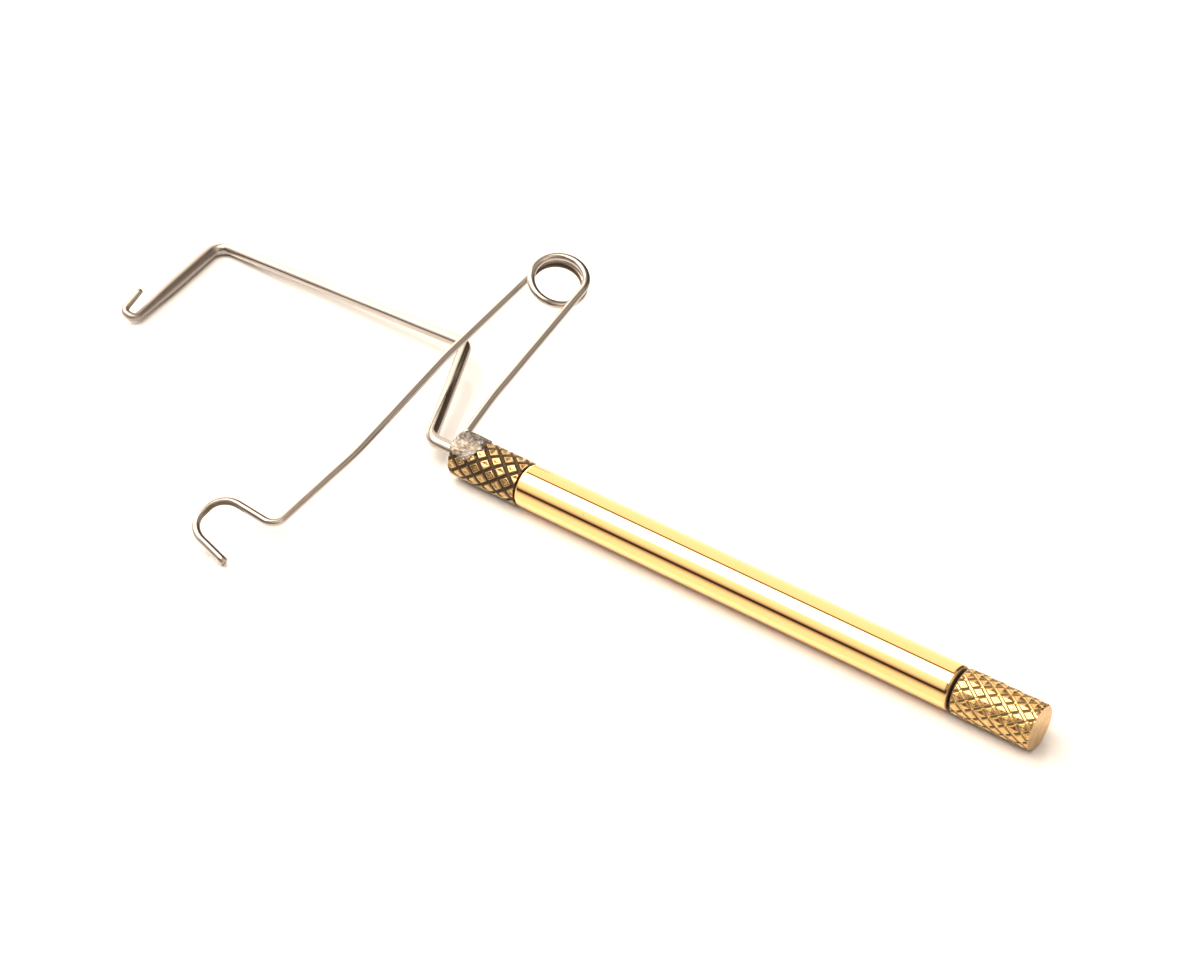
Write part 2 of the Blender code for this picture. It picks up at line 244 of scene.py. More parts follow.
# Where the parts of the room begin: limits of the direction's X, or of its place from front to back.
# Each part fades in from the first number to the second.
CARD_X = (0.50, 0.60)
CARD_PLACE = (0.54, 0.59)
DOORWAY_X = (-0.52, -0.40)
DOORWAY_PLACE = (0.655, 0.70)
MIDDLE_X = (0.31, 0.26)
KNOB_X = (-0.48, -0.56)


def make_camera():
    data = bpy.data.cameras.new("photo_camera")
    data.lens = CAMERA_LENS
    data.sensor_width = CAMERA_SENSOR
    data.sensor_fit = "HORIZONTAL"
    data.clip_start = CAMERA_NEAREST
    camera = bpy.data.objects.new("photo_camera", data)
    bpy.context.scene.collection.objects.link(camera)
    back = Vector((
        math.sin(CAMERA_AZIMUTH) * math.cos(CAMERA_ELEVATION),
        -math.cos(CAMERA_AZIMUTH) * math.cos(CAMERA_ELEVATION),
        math.sin(CAMERA_ELEVATION),
    ))
    right = Vector((math.cos(CAMERA_AZIMUTH), math.sin(CAMERA_AZIMUTH), 0))
    turn = Matrix((right, back.cross(right), back)).transposed()
    camera.matrix_world = Matrix.Translation(CAMERA_PLACE) @ turn.to_4x4()
    bpy.context.scene.camera = camera


# Shader nodes


def new_material(name):
    material = bpy.data.materials.new(name)
    material.use_nodes = True
    tree = material.node_tree
    return material, tree, tree.nodes["Principled BSDF"]


def noise_on(tree, coordinates, scale, detail=3.0, roughness=0.55):
    texture = tree.nodes.new("ShaderNodeTexNoise")
    texture.inputs["Scale"].default_value = scale
    texture.inputs["Detail"].default_value = detail
    texture.inputs["Roughness"].default_value = roughness
    tree.links.new(coordinates, texture.inputs["Vector"])
    return texture.outputs["Fac"]


def stretched(tree, coordinates, scale):
    mapping = tree.nodes.new("ShaderNodeMapping")
    mapping.inputs["Scale"].default_value = scale
    tree.links.new(coordinates, mapping.inputs["Vector"])
    return mapping.outputs["Vector"]


def mix_colours(tree, share, first, second):
    """Each of the two colours is a tuple or the output of a node."""
    made = tree.nodes.new("ShaderNodeMix")
    made.data_type = "RGBA"
    tree.links.new(share, made.inputs[0])
    for value, socket in ((first, made.inputs[6]), (second, made.inputs[7])):
        if isinstance(value, tuple):
            socket.default_value = (*value, 1.0)
        else:
            tree.links.new(value, socket)
    return made.outputs[2]


def map_range(tree, value, low, high, to_low=0.0, to_high=1.0):
    made = tree.nodes.new("ShaderNodeMapRange")
    made.inputs["From Min"].default_value = low
    made.inputs["From Max"].default_value = high
    made.inputs["To Min"].default_value = to_low
    made.inputs["To Max"].default_value = to_high
    tree.links.new(value, made.inputs["Value"])
    return made.outputs["Result"]


def multiply(tree, first, second):
    made = tree.nodes.new("ShaderNodeMath")
    made.operation = "MULTIPLY"
    tree.links.new(first, made.inputs[0])
    tree.links.new(second, made.inputs[1])
    return made.outputs[0]


def add_scaled(tree, base, extra, scale):
    """The base plus the extra times a constant scale."""
    made = tree.nodes.new("ShaderNodeMath")
    made.operation = "MULTIPLY_ADD"
    made.inputs[1].default_value = scale
    tree.links.new(extra, made.inputs[0])
    tree.links.new(base, made.inputs[2])
    return made.outputs[0]


def separate(tree, vector):
    made = tree.nodes.new("ShaderNodeSeparateXYZ")
    tree.links.new(vector, made.inputs[0])
    return made.outputs


def bump(tree, height, strength, distance):
    made = tree.nodes.new("ShaderNodeBump")
    made.inputs["Strength"].default_value = strength
    made.inputs["Distance"].default_value = distance
    tree.links.new(height, made.inputs["Height"])
    return made.outputs["Normal"]


def object_coordinates(tree):
    return tree.nodes.new("ShaderNodeTexCoord").outputs["Object"]


def attribute(tree, name, output):
    made = tree.nodes.new("ShaderNodeAttribute")
    made.attribute_name = name
    return made.outputs[output]


# Materials


def polished_brass():
    """Bright brass, painted dark at its rear end, where it runs close to the knob, as painted shade and
    dark reflection.
    """
    material, tree, shader = new_material("polished_brass")
    place = object_coordinates(tree)
    cloud = noise_on(tree, place, scale=260.0)
    tone = mix_colours(tree, cloud, BRASS_LIGHT, BRASS_DEEP)
    pits = map_range(tree, noise_on(tree, place, scale=2600.0, detail=1.0), 0.73, 0.78, 0.0, 0.45)
    pitted = mix_colours(tree, pits, tone, BRASS_PIT)
    along = separate(tree, place)["X"]
    # Painted shade and dark reflection at the sleeve's rear end
    rear = map_range(tree, along, SLEEVE_START + REAR_SHADE_FULL, SLEEVE_START + REAR_SHADE_GONE, 1.0, 0.0)
    tree.links.new(mix_colours(tree, rear, pitted, BRASS_REAR_SHADE), shader.inputs["Base Color"])
    rubbing = noise_on(tree, stretched(tree, place, (60.0, 1800.0, 1800.0)), scale=1.0)
    tree.links.new(map_range(tree, rubbing, 0.3, 0.7, 0.03, 0.07), shader.inputs["Roughness"])
    tree.links.new(bump(tree, rubbing, strength=0.02, distance=0.00002), shader.inputs["Normal"])
    tree.links.new(map_range(tree, rear, 0.0, 1.0, 1.0, 0.2), shader.inputs["Metallic"])
    return material


def knurled_brass(name, crest, worn, groove, dark_from, dark_to):
    """Brass whose grooves have darkened with dirt. The mesh says how dark each point is, from that dirt
    and from painted shade in the gaps beside the knurls.
    """
    material, tree, shader = new_material(name)
    place = object_coordinates(tree)
    cloud = noise_on(tree, place, scale=900.0)
    grain = noise_on(tree, place, scale=5200.0, detail=2.0)
    face = mix_colours(tree, map_range(tree, cloud, 0.35, 0.65), crest, worn)
    dirt_and_shade = add_scaled(tree, attribute(tree, "dirt_and_shade", "Fac"), grain, 0.20)
    dark = map_range(tree, dirt_and_shade, dark_from, dark_to)
    tree.links.new(mix_colours(tree, dark, face, groove), shader.inputs["Base Color"])
    tree.links.new(map_range(tree, dark, 0.0, 1.0, 0.20, 0.55), shader.inputs["Roughness"])
    tree.links.new(map_range(tree, dark, 0.2, 1.0, 1.0, 0.3), shader.inputs["Metallic"])
    shader.inputs["Specular IOR Level"].default_value = 0.2
    tree.links.new(bump(tree, grain, strength=0.25, distance=0.00003), shader.inputs["Normal"])
    return material


def aged_brass():
    return knurled_brass(
        "aged_brass",
        crest=(0.53, 0.36, 0.165),
        worn=(0.30, 0.205, 0.095),
        groove=(0.045, 0.030, 0.015),
        dark_from=0.36,
        dark_to=0.76,
    )


def worn_brass():
    return knurled_brass(
        "worn_brass",
        crest=(0.72, 0.48, 0.20),
        worn=(0.54, 0.355, 0.145),
        groove=(0.13, 0.085, 0.038),
        dark_from=0.24,
        dark_to=0.90,
    )


def drawn_steel(name, light, dark, smooth, rough, filed):
    """Drawn wire with streaks along it, duller where it has been filed near its free end.

    The mesh gives each point's place round the wire and its distance from the free end, in millimetres,
    and how much painted shade it carries, from 0 to 1. The filing starts to fade at the first of the two
    distances in filed and is gone at the second.
    """
    material, tree, shader = new_material(name)
    place = attribute(tree, "streak", "Vector")
    streaks = noise_on(tree, stretched(tree, place, (5.0, 5.0, 0.12)), scale=1.0, detail=4.0)
    cloud = noise_on(tree, stretched(tree, place, (0.8, 0.8, 0.35)), scale=1.0)
    tone = mix_colours(tree, map_range(tree, streaks, 0.35, 0.68), light, dark)
    worked = map_range(tree, separate(tree, place)["Z"], *filed, 1.0, 0.0)
    # Painted shade where the mesh marks it, inside the spring's bends
    painted_shade = attribute(tree, "painted_shade", "Fac")
    clean = mix_colours(tree, worked, tone, dark)
    tree.links.new(mix_colours(tree, painted_shade, clean, PAINTED_SHADE_COLOUR), shader.inputs["Base Color"])
    tree.links.new(map_range(tree, painted_shade, 0.0, 1.0, 1.0, 0.3), shader.inputs["Metallic"])
    drawn = map_range(tree, cloud, 0.3, 0.7, smooth, rough)
    tree.links.new(add_scaled(tree, drawn, worked, 0.22), shader.inputs["Roughness"])
    tree.links.new(bump(tree, streaks, strength=0.15, distance=0.00002), shader.inputs["Normal"])
    return material


def bright_steel():
    return drawn_steel(
        "bright_steel",
        light=(0.51, 0.475, 0.44),
        dark=(0.34, 0.305, 0.27),
        smooth=0.10,
        rough=0.20,
        filed=(24.0, 32.0),
    )


def spring_steel():
    return drawn_steel(
        "spring_steel",
        light=(0.52, 0.48, 0.44),
        dark=(0.42, 0.38, 0.34),
        smooth=0.11,
        rough=0.20,
        filed=(0.0, 1.0),
    )


def frosty_solder():
    """Grey solder with dull grain and a few brown flecks."""
    material, tree, shader = new_material("frosty_solder")
    place = object_coordinates(tree)
    cloud = noise_on(tree, place, scale=850.0)
    grain = noise_on(tree, place, scale=3600.0, detail=5.0, roughness=0.70)
    grey = mix_colours(tree, map_range(tree, cloud, 0.38, 0.62), SOLDER_LIGHT, SOLDER_DARK)
    flecks = map_range(tree, noise_on(tree, place, scale=2100.0, detail=1.0), 0.60, 0.66, 0.0, 0.8)
    tree.links.new(mix_colours(tree, flecks, grey, SOLDER_FLECK), shader.inputs["Base Color"])
    tree.links.new(map_range(tree, grain, 0.3, 0.7, 0.30, 0.56), shader.inputs["Roughness"])
    tree.links.new(bump(tree, grain, strength=0.45, distance=0.00010), shader.inputs["Normal"])
    shader.inputs["Metallic"].default_value = 1.0
    return material


# Handle


def mesh_piece(name, bm, material, smooth_angle=40.0):
    """An object made from the mesh. Edges sharper than the angle, in degrees, stay sharp."""
    bmesh.ops.recalc_face_normals(bm, faces=bm.faces)
    mesh = bpy.data.meshes.new(name)
    bm.to_mesh(mesh)
    bm.free()
    mesh.shade_smooth()
    mesh.set_sharp_from_angle(angle=math.radians(smooth_angle))
    mesh.materials.append(material)
    piece = bpy.data.objects.new(name, mesh)
    bpy.context.scene.collection.objects.link(piece)
    return piece


def add_ring(bm, x, radius, count):
    ring = []
    for index in range(count):
        angle = 2 * math.pi * index / count - math.pi / 2
        ring.append(bm.verts.new((x, radius * math.cos(angle), radius * math.sin(angle))))
    return ring


def join_rings(bm, first, second):
    count = len(first)
    for index in range(count):
        after = (index + 1) % count
        bm.faces.new((first[index], first[after], second[after], second[index]))


def lathe(bm, profile, count, closed=False):
    """Turns a profile of places along X and radii round the X axis. Returns its rings of points."""
    rings = [add_ring(bm, x, radius, count) for x, radius in profile]
    for first, second in zip(rings, rings[1:] + (rings[:1] if closed else [])):
        join_rings(bm, first, second)
    return rings


def make_sleeve(material):
    """A tube with rounded outer edges."""
    angles = [math.pi / 2 * index / EDGE_STEPS for index in range(EDGE_STEPS + 1)]
    profile = [(SLEEVE_START, SLEEVE_BORE)]
    for angle in angles:
        inset = SLEEVE_EDGE * (1 - math.cos(angle))
        profile.append((SLEEVE_START + inset, SLEEVE_RADIUS - SLEEVE_EDGE * (1 - math.sin(angle))))
    profile.append((SLEEVE_START + SLEEVE_SIDE, SLEEVE_RADIUS))
    profile.append((SLEEVE_END - SLEEVE_SIDE, SLEEVE_RADIUS))
    for angle in angles:
        inset = SLEEVE_EDGE * (1 - math.sin(angle))
        profile.append((SLEEVE_END - inset, SLEEVE_RADIUS - SLEEVE_EDGE * (1 - math.cos(angle))))
    profile.append((SLEEVE_END, SLEEVE_BORE))
    bm = bmesh.new()
    lathe(bm, profile, SLEEVE_SIDES, closed=True)
    return mesh_piece("sleeve_skin", bm, material)


def smooth_step(low, high, value):
    share = min(max((value - low) / (high - low), 0.0), 1.0)
    return share * share * (3 - 2 * share)


class Knurl:
    """Two families of crossed grooves round the X axis, between diamonds that are dished or domed.

    A positive dish hollows the diamonds and a negative one domes them. On a swept knurl the second family
    of grooves is clean at its bottom and holds dirt only along its walls.
    """

    def __init__(self, starts, length, centre_x, centre_angle, floors, widths, depths, dish, swept=False):
        self.starts = starts
        self.length = length
        self.centre_x = centre_x
        self.centre_angle = math.radians(centre_angle)
        self.floors = floors
        self.widths = widths
        self.depths = depths
        self.dish = dish
        self.swept = swept
        around = starts / (2 * math.pi * KNURL_RADIUS)
        self.slope = math.hypot(around, 1 / length)

    def distances(self, x, angle):
        """How far a point lies from the nearest groove of each of the two families, in metres."""
        turns = self.starts * (angle - self.centre_angle) / (2 * math.pi)
        along = (x - self.centre_x) / self.length
        found = []
        for value in (turns + along, turns - along):
            found.append((0.5 - abs(value - round(value))) / self.slope)
        return found

    def drop(self, x, angle):
        """How far the surface lies below the crest, in metres, and how dirty it is, from 0 to 1."""
        apart = self.distances(x, angle)
        shares = [1 - smooth_step(*sizes) for sizes in zip(self.floors, self.widths, apart)]
        low = max(depth * share for depth, share in zip(self.depths, shares))
        # From 0 just inside the diamond's edge to 1 at its middle
        inner = smooth_step(1.1 * self.widths[0], 0.5 / self.slope, min(apart))
        low = max(low, self.dish * inner if self.dish > 0 else self.dish * (inner - 1))
        if self.swept:
            # From 0 at the top and the bottom of the wall to 1 halfway up
            wall = 4 * shares[1] * (1 - shares[1])
            return low, max(shares[0] * (1 - shares[1]), WALL_DIRT * wall)
        return low, low / KNURL_DEPTH


def knurled_mesh():
    """An empty mesh whose points carry their darkness: dirt from 0 on a clean crest to 1 deep in a dirty
    groove, and painted shade beside the knurls.
    """
    bm = bmesh.new()
    return bm, bm.verts.layers.float.new("dirt_and_shade")


def knurled_surface(bm, dirt_and_shade, start, end, knurl, columns, rows):
    """A grid of points on the knurl. Returns its two end rings."""
    rings = []
    for row in range(rows + 1):
        x = start + (end - start) * row / rows
        ring = []
        for column in range(columns):
            angle = 2 * math.pi * column / columns - math.pi / 2
            across = math.cos(angle)
            up = math.sin(angle)
            uneven = noise.noise(Vector((x * UNEVEN_ALONG, across * UNEVEN_ROUND, up * UNEVEN_ROUND)))
            drop, share = knurl.drop(x, angle)
            radius = KNURL_RADIUS - drop - UNEVEN_DEPTH * (1 + uneven)
            vert = bm.verts.new((x, radius * across, radius * up))
            vert[dirt_and_shade] = share
            ring.append(vert)
        rings.append(ring)
    for first, second in zip(rings, rings[1:]):
        join_rings(bm, first, second)
    return rings[0], rings[-1]


# Sets one darkness on whole rings: painted shade in the gaps beside the knurls, dirt with painted shade
# on the head's face
def darken_rings(rings, dirt_and_shade, share):
    for ring in rings:
        for vert in ring:
            vert[dirt_and_shade] = share


def make_head(material):
    """The knurled head with the spindle behind it and the hook's bore in its face."""
    knurl = Knurl(
        starts=9,
        length=0.00268,
        centre_x=0.08303,
        centre_angle=67.5,
        floors=(0.00014, 0.00014),
        widths=(0.00034, 0.00034),
        depths=(KNURL_DEPTH, KNURL_DEPTH),
        dish=0.00010,
    )
    bm, dirt_and_shade = knurled_mesh()
    start = HEAD_START - HEAD_REACH
    back = lathe(bm, [(SPINDLE_TAIL, SPINDLE_RADIUS), (start, SPINDLE_RADIUS)], HEAD_COLUMNS)
    first, last = knurled_surface(
        bm, dirt_and_shade, start, HEAD_FACE - END_CHAMFER, knurl, HEAD_COLUMNS, HEAD_ROWS)
    front = lathe(bm, [
        (HEAD_FACE, KNURL_RADIUS - END_CHAMFER),
        (HEAD_FACE, HOOK_BORE_RADIUS),
        (HEAD_FACE - HOOK_BORE_DEPTH, HOOK_BORE_RADIUS),
    ], HEAD_COLUMNS)
    bm.faces.new(back[0])
    join_rings(bm, back[-1], first)
    join_rings(bm, last, front[0])
    bm.faces.new(front[-1])
    # Painted shade on the spindle in the gap behind the head; dirt with painted shade on the front face
    # and in the hook's bore
    darken_rings(back, dirt_and_shade, GAP_SHADE)
    darken_rings(front, dirt_and_shade, FACE_DIRT_AND_SHADE)
    return mesh_piece("head_skin", bm, material)


def make_knob(material):
    """The knurled knob with its flat butt face and the spindle's bore."""
    knurl = Knurl(
        starts=12,
        length=0.0024,
        centre_x=0.00337,
        centre_angle=60.3,
        floors=(0.00006, 0.00010),
        widths=(0.00030, 0.00036),
        depths=(0.00022, 0.00020),
        dish=-0.00005,
        swept=True,
    )
    bm, dirt_and_shade = knurled_mesh()
    face_radius = KNURL_RADIUS - END_CHAMFER
    butt = lathe(bm, [(0.0, face_radius / 2), (0.0, face_radius)], KNOB_COLUMNS)
    first, last = knurled_surface(
        bm, dirt_and_shade, END_CHAMFER, KNOB_LENGTH - END_CHAMFER, knurl, KNOB_COLUMNS, KNOB_ROWS)
    front = lathe(bm, [
        (KNOB_LENGTH, face_radius),
        (KNOB_LENGTH, SPINDLE_RADIUS + SPINDLE_GAP),
        (SPINDLE_TAIL - SPINDLE_GAP, SPINDLE_RADIUS + SPINDLE_GAP),
    ], KNOB_COLUMNS)
    bm.faces.new(butt[0])
    join_rings(bm, butt[-1], first)
    join_rings(bm, last, front[0])
    bm.faces.new(front[-1])
    # Painted shade on the knob's front face and bore, in the gap at the spindle
    darken_rings(front, dirt_and_shade, GAP_SHADE)
    return mesh_piece("knob_skin", bm, material)


# Wires


def rounded_route(corners, radii):
    """Points along straight lines between the corners, with each inner corner rounded to its radius."""
    route = [corners[0]]
    for before, corner, after, radius in zip(corners, corners[1:], corners[2:], radii):
        arrive = (corner - before).normalized()
        leave = (after - corner).normalized()
        turn = arrive.angle(leave)
        centre = corner + (leave - arrive).normalized() * (radius / math.cos(turn / 2))
        first = corner - arrive * (radius * math.tan(turn / 2)) - centre
        axis = arrive.cross(leave)
        for step in range(BEND_STEPS + 1):
            route.append(centre + Matrix.Rotation(turn * step / BEND_STEPS, 3, axis) @ first)
    route.append(corners[-1])
    return route


def filled_route(route, spacing):
    """The same route with points added so that no two lie further apart than the spacing."""
    filled = [route[0]]
    for first, second in zip(route, route[1:]):
        count = max(1, math.ceil((second - first).length / spacing))
        for index in range(1, count + 1):
            filled.append(first.lerp(second, index / count))
    return filled


def route_runs(route):
    """How far along the route each of its points lies."""
    runs = [0.0]
    for first, second in zip(route, route[1:]):
        runs.append(runs[-1] + (second - first).length)
    return runs


def route_tangents(route):
    tangents = []
    for index in range(len(route)):
        before = route[max(index - 1, 0)]
        after = route[min(index + 1, len(route) - 1)]
        tangents.append((after - before).normalized())
    return tangents


def cap_wire(bm, layer, ring, place, outward, radius):
    """Closes a wire's end with a flat face and a tiny chamfer."""
    cap = []
    for vert in ring:
        new = bm.verts.new(place + (vert.co - place) * (1 - WIRE_CHAMFER))
        new[layer] = vert[layer]
        cap.append(new)
        vert.co -= outward * (WIRE_CHAMFER * radius)
    join_rings(bm, ring, cap)
    bm.faces.new(cap)


def make_wire(name, route, radius_at, sides, material):
    """A round wire along the route, whose points carry what its streaks follow."""
    bm = bmesh.new()
    layer = bm.verts.layers.float_vector.new("streak")
    runs = route_runs(route)
    total = runs[-1]
    tangents = route_tangents(route)
    side = tangents[0].orthogonal().normalized()
    rings = []
    for index, (place, tangent) in enumerate(zip(route, tangents)):
        if index:
            side = tangents[index - 1].rotation_difference(tangent) @ side
        other = tangent.cross(side)
        radius = radius_at(runs[index], total)
        ring = []
        for step in range(sides):
            angle = 2 * math.pi * step / sides
            vert = bm.verts.new(place + (side * math.cos(angle) + other * math.sin(angle)) * radius)
            vert[layer] = (math.cos(angle), math.sin(angle), (total - runs[index]) * MILLIMETRES)
            ring.append(vert)
        rings.append(ring)
    for first, second in zip(rings, rings[1:]):
        join_rings(bm, first, second)
    cap_wire(bm, layer, rings[0], route[0], -tangents[0], radius_at(0.0, total))
    cap_wire(bm, layer, rings[-1], route[-1], tangents[-1], radius_at(total, total))
    return mesh_piece(name, bm, material, smooth_angle=50.0)


def hook_corners():
    """Corners of the fixed hook, from its root in the head to its tip."""
    root = Vector((HEAD_FACE - HOOK_BORE_DEPTH + HOOK_SEAT_GAP, 0, 0))
    stub = Vector((HEAD_FACE + STUB_LENGTH, 0, 0))
    riser = stub + Vector((RISER_LEAN, -BAY_OFFSET, RISER_LIFT))
    rest = HOOK_WIRE_RADIUS - KNURL_RADIUS
    far = Vector((riser.x + RUN_LENGTH, riser.y - RUN_SPLAY, rest))
    turn = Vector((far.x - RETURN_LEAN, HOOK_PAST_AXIS, rest))
    back = turn + Vector((HOOK_WIDTH, 0, HOOK_LIFT))
    tip = back + Vector((0, -TIP_LENGTH, TIP_LIFT))
    return [root, stub, riser, far, turn, back, tip]


def make_hook(material):
    """The thick wire, which thins towards the turn of its hook and further to its tip."""
    corners = hook_corners()
    turn = corners[4]
    radii = [ARM_BEND_RADIUS] * 3 + [HOOK_BEND_RADIUS] * 2
    route = filled_route(rounded_route(corners, radii), HOOK_SPACING)
    turn_index = min(range(len(route)), key=lambda index: (route[index] - turn).length)
    to_tip = sum((b - a).length for a, b in zip(route[turn_index:], route[turn_index + 1:]))

    def radius_at(run, total):
        left = total - run
        if left < to_tip:
            share = TIP_TAPER + (HOOK_TAPER - TIP_TAPER) * left / to_tip
        else:
            share = HOOK_TAPER + (1 - HOOK_TAPER) * smooth_step(0.0, TAPER_LENGTH, left - to_tip)
        return HOOK_WIRE_RADIUS * share

    return make_wire("hook_wire", route, radius_at, HOOK_SIDES, material)


def spring_corners():
    """Corners of the spring's arm, from the coil to the end of the curl, in the spring's own frame."""
    layer = -COIL_HALF_HEIGHT
    notch_side = COIL_RADIUS + NOTCH_OFFSET
    curl_side = notch_side + CURL_LENGTH
    curl_start = NOTCH_REACH + CURL_SLANT
    curl_end = curl_start + CURL_WIDTH
    return [
        Vector((COIL_RADIUS, 0.0, layer)),
        Vector((COIL_RADIUS + OUT_BOW, OUT_BOW_REACH, layer)),
        Vector((COIL_RADIUS - IN_BOW, IN_BOW_REACH, layer)),
        Vector((notch_side, NOTCH_REACH, layer)),
        Vector((curl_side, curl_start, layer)),
        Vector((curl_side, curl_end, layer)),
        Vector((curl_side - TAIL_LENGTH, curl_end + TAIL_SLANT, layer)),
    ]


def spring_route():
    """The middle line of the leg, the coil and the arm, in the spring's own frame."""
    coil = []
    for step in range(COIL_STEPS):
        share = step / COIL_STEPS
        angle = COIL_START + (COIL_END - COIL_START) * share
        height = COIL_HALF_HEIGHT * (1 - 2 * share)
        coil.append(Vector((COIL_RADIUS * math.cos(angle), COIL_RADIUS * math.sin(angle), height)))
    along = Vector((-math.sin(LEG_SPLAY), math.cos(LEG_SPLAY), 0))
    leg = filled_route([coil[0] + along * LEG_LENGTH, coil[0]], SPRING_SPACING)
    radii = [BOW_BEND_RADIUS] * 2 + [NOTCH_BEND_RADIUS] + [CURL_BEND_RADIUS] * 2
    arm = filled_route(rounded_route(spring_corners(), radii), SPRING_SPACING)
    return leg[:-1] + coil + arm


def bent_in(place):
    """The leg's end is bent a little towards the head, into the solder."""
    near = max(0.0, 1 - (place - SPRING_ROOT).length / ROOT_BEND_LENGTH)
    return place - Vector((ROOT_BEND * near ** ROOT_BEND_POWER, 0, 0))


def coil_painted_shade(place):
    """How much painted shade a point of the coil carries: its lower turn is painted dark on the inside,
    under the upper turn.
    """
    inside = COIL_RADIUS - math.hypot(place.x, place.y)
    return smooth_step(*COIL_SHADE_INSIDE, inside) * smooth_step(*COIL_SHADE_BELOW, -place.z)


def curl_painted_shade(place):
    """How much painted shade a point of the curl carries: its first bend is painted dark on the inside.
    """
    first, second = spring_corners()[4:6]
    start = first.y + CURL_BEND_RADIUS
    end = second.y - CURL_BEND_RADIUS
    across = place.x - first.x + CURL_BEND_RADIUS
    along = place.y - min(max(place.y, start), end)
    inside = CURL_BEND_RADIUS - math.hypot(across, along)
    fading = smooth_step(end + CURL_BEND_RADIUS, start, place.y)
    return CURL_SHADE_LEVEL * smooth_step(*CURL_SHADE_INSIDE, inside) * fading


def paint_shade_in_bends(wire, centre, turn):
    """Marks each point of the spring with its painted shade."""
    painted_shade = wire.data.attributes.new("painted_shade", "FLOAT", "POINT")
    back = turn.inverted()
    for vert, value in zip(wire.data.vertices, painted_shade.data):
        place = back @ (vert.co - centre)
        value.value = coil_painted_shade(place) if place.y < LEG_LENGTH else curl_painted_shade(place)


def make_spring(material):
    """Leg, coil and arm in one wire."""
    turn = SPRING_TILT.to_matrix()
    route = spring_route()
    centre = SPRING_ROOT - turn @ route[0]
    route = [bent_in(centre + turn @ place) for place in route]
    wire = make_wire(
        "spring_wire", route, lambda run, total: SPRING_WIRE_RADIUS, SPRING_SIDES, material)
    paint_shade_in_bends(wire, centre, turn)
    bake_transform(wire)
    return wire


# Solder


def pressed(excess, limit):
    """What stands out by the excess, squeezed so that it never stands out by more than the limit."""
    return limit * (1 - math.exp(-excess / limit)) if excess > 0 else excess


def swollen(way, size, waves):
    """The size with waves of noise added, which change with the direction."""
    for strength, fineness in waves:
        size += strength * noise.noise(way * fineness)
    return size


def stretched_way(way, size):
    return Vector([part * length for part, length in zip(way, size)])


def shape_lump(verts):
    """A lump that hugs the head: what would stand above the knurl or past the face is pressed flat."""
    lean = Matrix.Rotation(SOLDER_LEAN, 3, "X")
    centre = Vector((HEAD_FACE - SOLDER_SETBACK, 0, KNURL_RADIUS - SOLDER_SINK))
    for vert in verts:
        way = vert.co.copy()
        size = swollen(way, 1.0, SOLDER_SWELL)
        place = centre + stretched_way(way, SOLDER_SIZE) * size
        place.x = HEAD_FACE + pressed(place.x - HEAD_FACE, SOLDER_PAST_FACE)
        reach = math.hypot(place.y, place.z)
        proud = pressed(reach - KNURL_RADIUS, SOLDER_ABOVE_KNURL)
        if proud > 0:
            proud *= swollen(way, 1.0, SOLDER_BUMPS)
        scale = (KNURL_RADIUS + proud) / reach
        vert.co = lean @ Vector((place.x, place.y * scale, place.z * scale))


def shape_fillet(verts):
    """A smaller lump round the spring's root."""
    centre = SPRING_ROOT + FILLET_SHIFT
    for vert in verts:
        way = vert.co.copy()
        size = swollen(way, FILLET_FULLNESS, FILLET_SWELL)
        vert.co = centre + stretched_way(way, FILLET_SIZE) * size


def make_solder(material):
    bm = bmesh.new()
    shape_lump(bmesh.ops.create_icosphere(bm, subdivisions=6, radius=1.0)["verts"])
    shape_fillet(bmesh.ops.create_icosphere(bm, subdivisions=4, radius=1.0)["verts"])
    return mesh_piece("solder_lump", bm, material, smooth_angle=180.0)


# Floor, lights and room


def make_floor():
    bm = bmesh.new()
    bmesh.ops.create_grid(bm, x_segments=1, y_segments=1, size=FLOOR_SIZE)
    material, _, shader = new_material("pale_floor")
    shader.inputs["Base Color"].default_value = FLOOR_COLOUR
    shader.inputs["Roughness"].default_value = FLOOR_ROUGHNESS
    shader.inputs["Specular IOR Level"].default_value = FLOOR_GLOSS
    floor = mesh_piece("floor", bm, material)
    floor.location.z = FLOOR_HEIGHT


def make_light(name, place, tilt, size, energy):
    """A rectangular light that shines straight down, tilted about X by degrees."""
    data = bpy.data.lights.new(name, "AREA")
    data.shape = "RECTANGLE"
    data.size, data.size_y = size
    data.energy = energy
    data.color = WARMTH
    light = bpy.data.objects.new(name, data)
    light.location = place
    light.rotation_euler = (math.radians(tilt), 0, 0)
    bpy.context.scene.collection.objects.link(light)
    return light


def make_lights():
    """A softbox that shows in the metal, and two fills that don't."""
    make_light("softbox", place=(0.40, 0.163, 0.52), tilt=0, size=(0.90, 0.506), energy=7.1)
    back_fill = make_light(
        "back_fill", place=(0.15, -0.55, 0.45), tilt=-48, size=(0.8, 0.5), energy=0.8)
    back_fill.visible_glossy = False
    ceiling = make_light("ceiling", place=(0.15, 0.0, 0.95), tilt=0, size=(1.8, 1.8), energy=9.0)
    ceiling.visible_glossy = False


def warm(level):
    return tuple(level * part for part in WARMTH)


def room_ramp(tree, share, levels):
    """Warm light that follows pairs of place and level."""
    made = tree.nodes.new("ShaderNodeValToRGB")
    elements = made.color_ramp.elements
    while len(elements) < len(levels):
        elements.new(0.5)
    for element, (place, level) in zip(elements, levels):
        element.position = place
        element.color = (*warm(level), 1.0)
    tree.links.new(share, made.inputs["Fac"])
    return made.outputs["Color"]


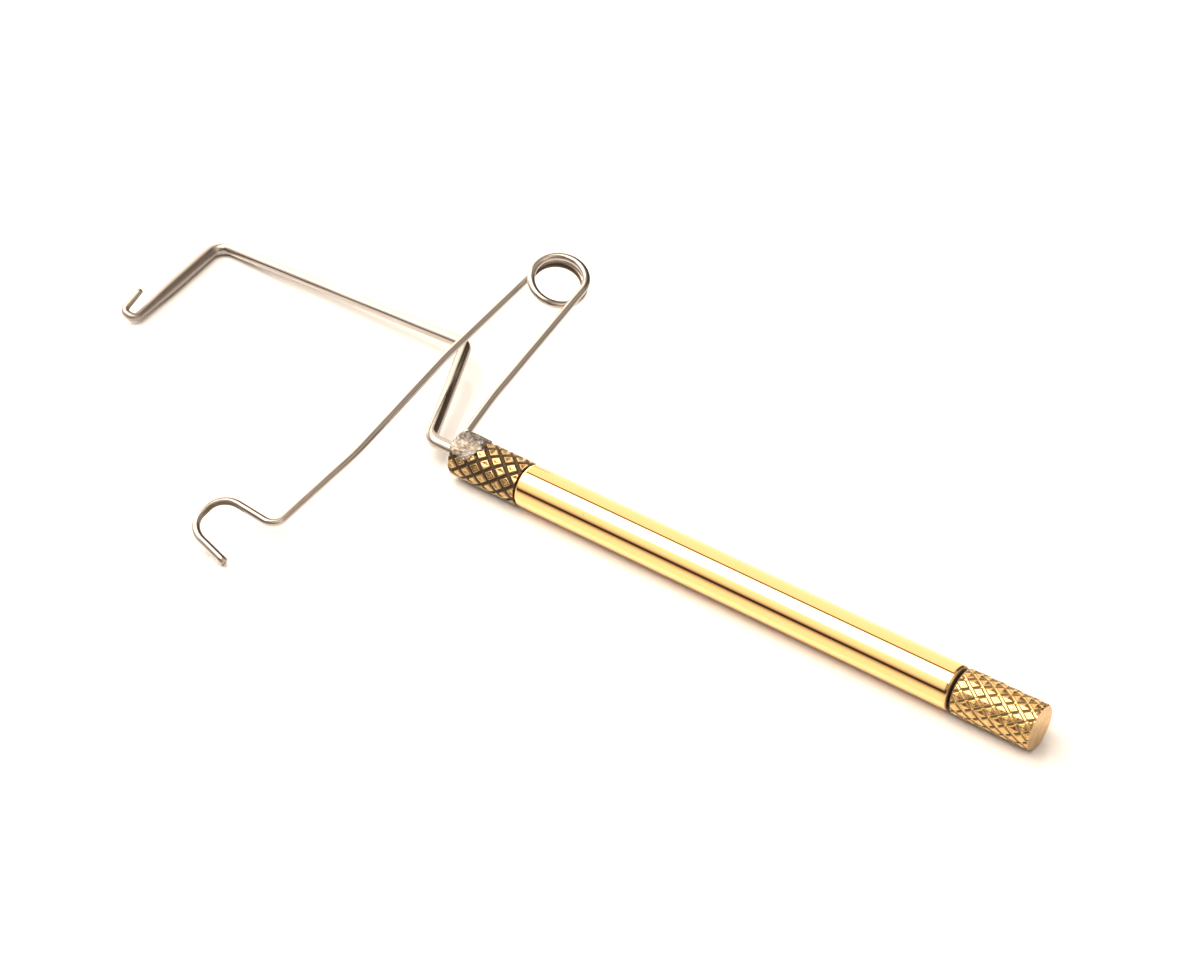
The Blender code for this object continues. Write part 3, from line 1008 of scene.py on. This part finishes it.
def room_share(tree, way):
    """Where a direction lies on the way from the horizon in front over the top to the one behind."""
    angle = tree.nodes.new("ShaderNodeMath")
    angle.operation = "ARCTAN2"
    tree.links.new(way["Z"], angle.inputs[0])
    tree.links.new(way["Y"], angle.inputs[1])
    return map_range(tree, angle.outputs[0], 0.0, math.pi)


def make_world():
    """A warm white room, whose brightness changes with the angle round the handle's axis.

    Beyond the hooks it is bright, with a low dark band in front, a thin dark line past the top and a
    brighter card further out. Across the middle it is dim, with a dark doorway behind. Beyond the knob it
    is brightest overhead.
    """
    world = bpy.data.worlds.new("studio")
    bpy.context.scene.world = world
    world.use_nodes = True
    tree = world.node_tree
    way = separate(tree, tree.nodes.new("ShaderNodeTexCoord").outputs["Generated"])
    share = room_share(tree, way)
    card = multiply(tree, map_range(tree, way["X"], *CARD_X), map_range(tree, share, *CARD_PLACE))
    hooks = mix_colours(tree, card, room_ramp(tree, share, BEYOND_HOOKS), warm(CARD_LEVEL))
    doorway = multiply(
        tree, map_range(tree, way["X"], *DOORWAY_X), map_range(tree, share, *DOORWAY_PLACE))
    middle = mix_colours(tree, doorway, room_ramp(tree, share, ACROSS_MIDDLE), DOORWAY_COLOUR)
    knob = room_ramp(tree, share, BEYOND_KNOB)
    away = mix_colours(tree, map_range(tree, way["X"], *KNOB_X), middle, knob)
    room = mix_colours(tree, map_range(tree, way["X"], *MIDDLE_X), hooks, away)
    ground = tree.nodes["Background"]
    tree.links.new(room, ground.inputs["Color"])
    ground.inputs["Strength"].default_value = ROOM_STRENGTH


# The whole scene


def dress():
    """Makes the pieces that stand for the CAD nodes, each but the spring on its body."""
    pieces = (
        (make_head(aged_brass()), "frame", "aged_brass", ("head_spindle",)),
        (make_knob(worn_brass()), "frame", "worn_brass", ("rear_knob",)),
        (make_sleeve(polished_brass()), "sleeve", "polished_brass", ("grip_sleeve",)),
        (make_hook(bright_steel()), "frame", "bright_steel", ("hook_arm",)),
        (make_solder(frosty_solder()), "frame", "grey_solder", ("solder_joint",)),
    )
    for piece, body, slot, nodes in pieces:
        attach(piece, body)
        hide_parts(*nodes)
    spring = make_spring(spring_steel())
    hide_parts("spring_leg", "spring_coil", "spring_arm")


make_camera()
dress()
make_floor()
make_lights()
make_world()
bpy.context.scene.view_settings.view_transform = "Standard"
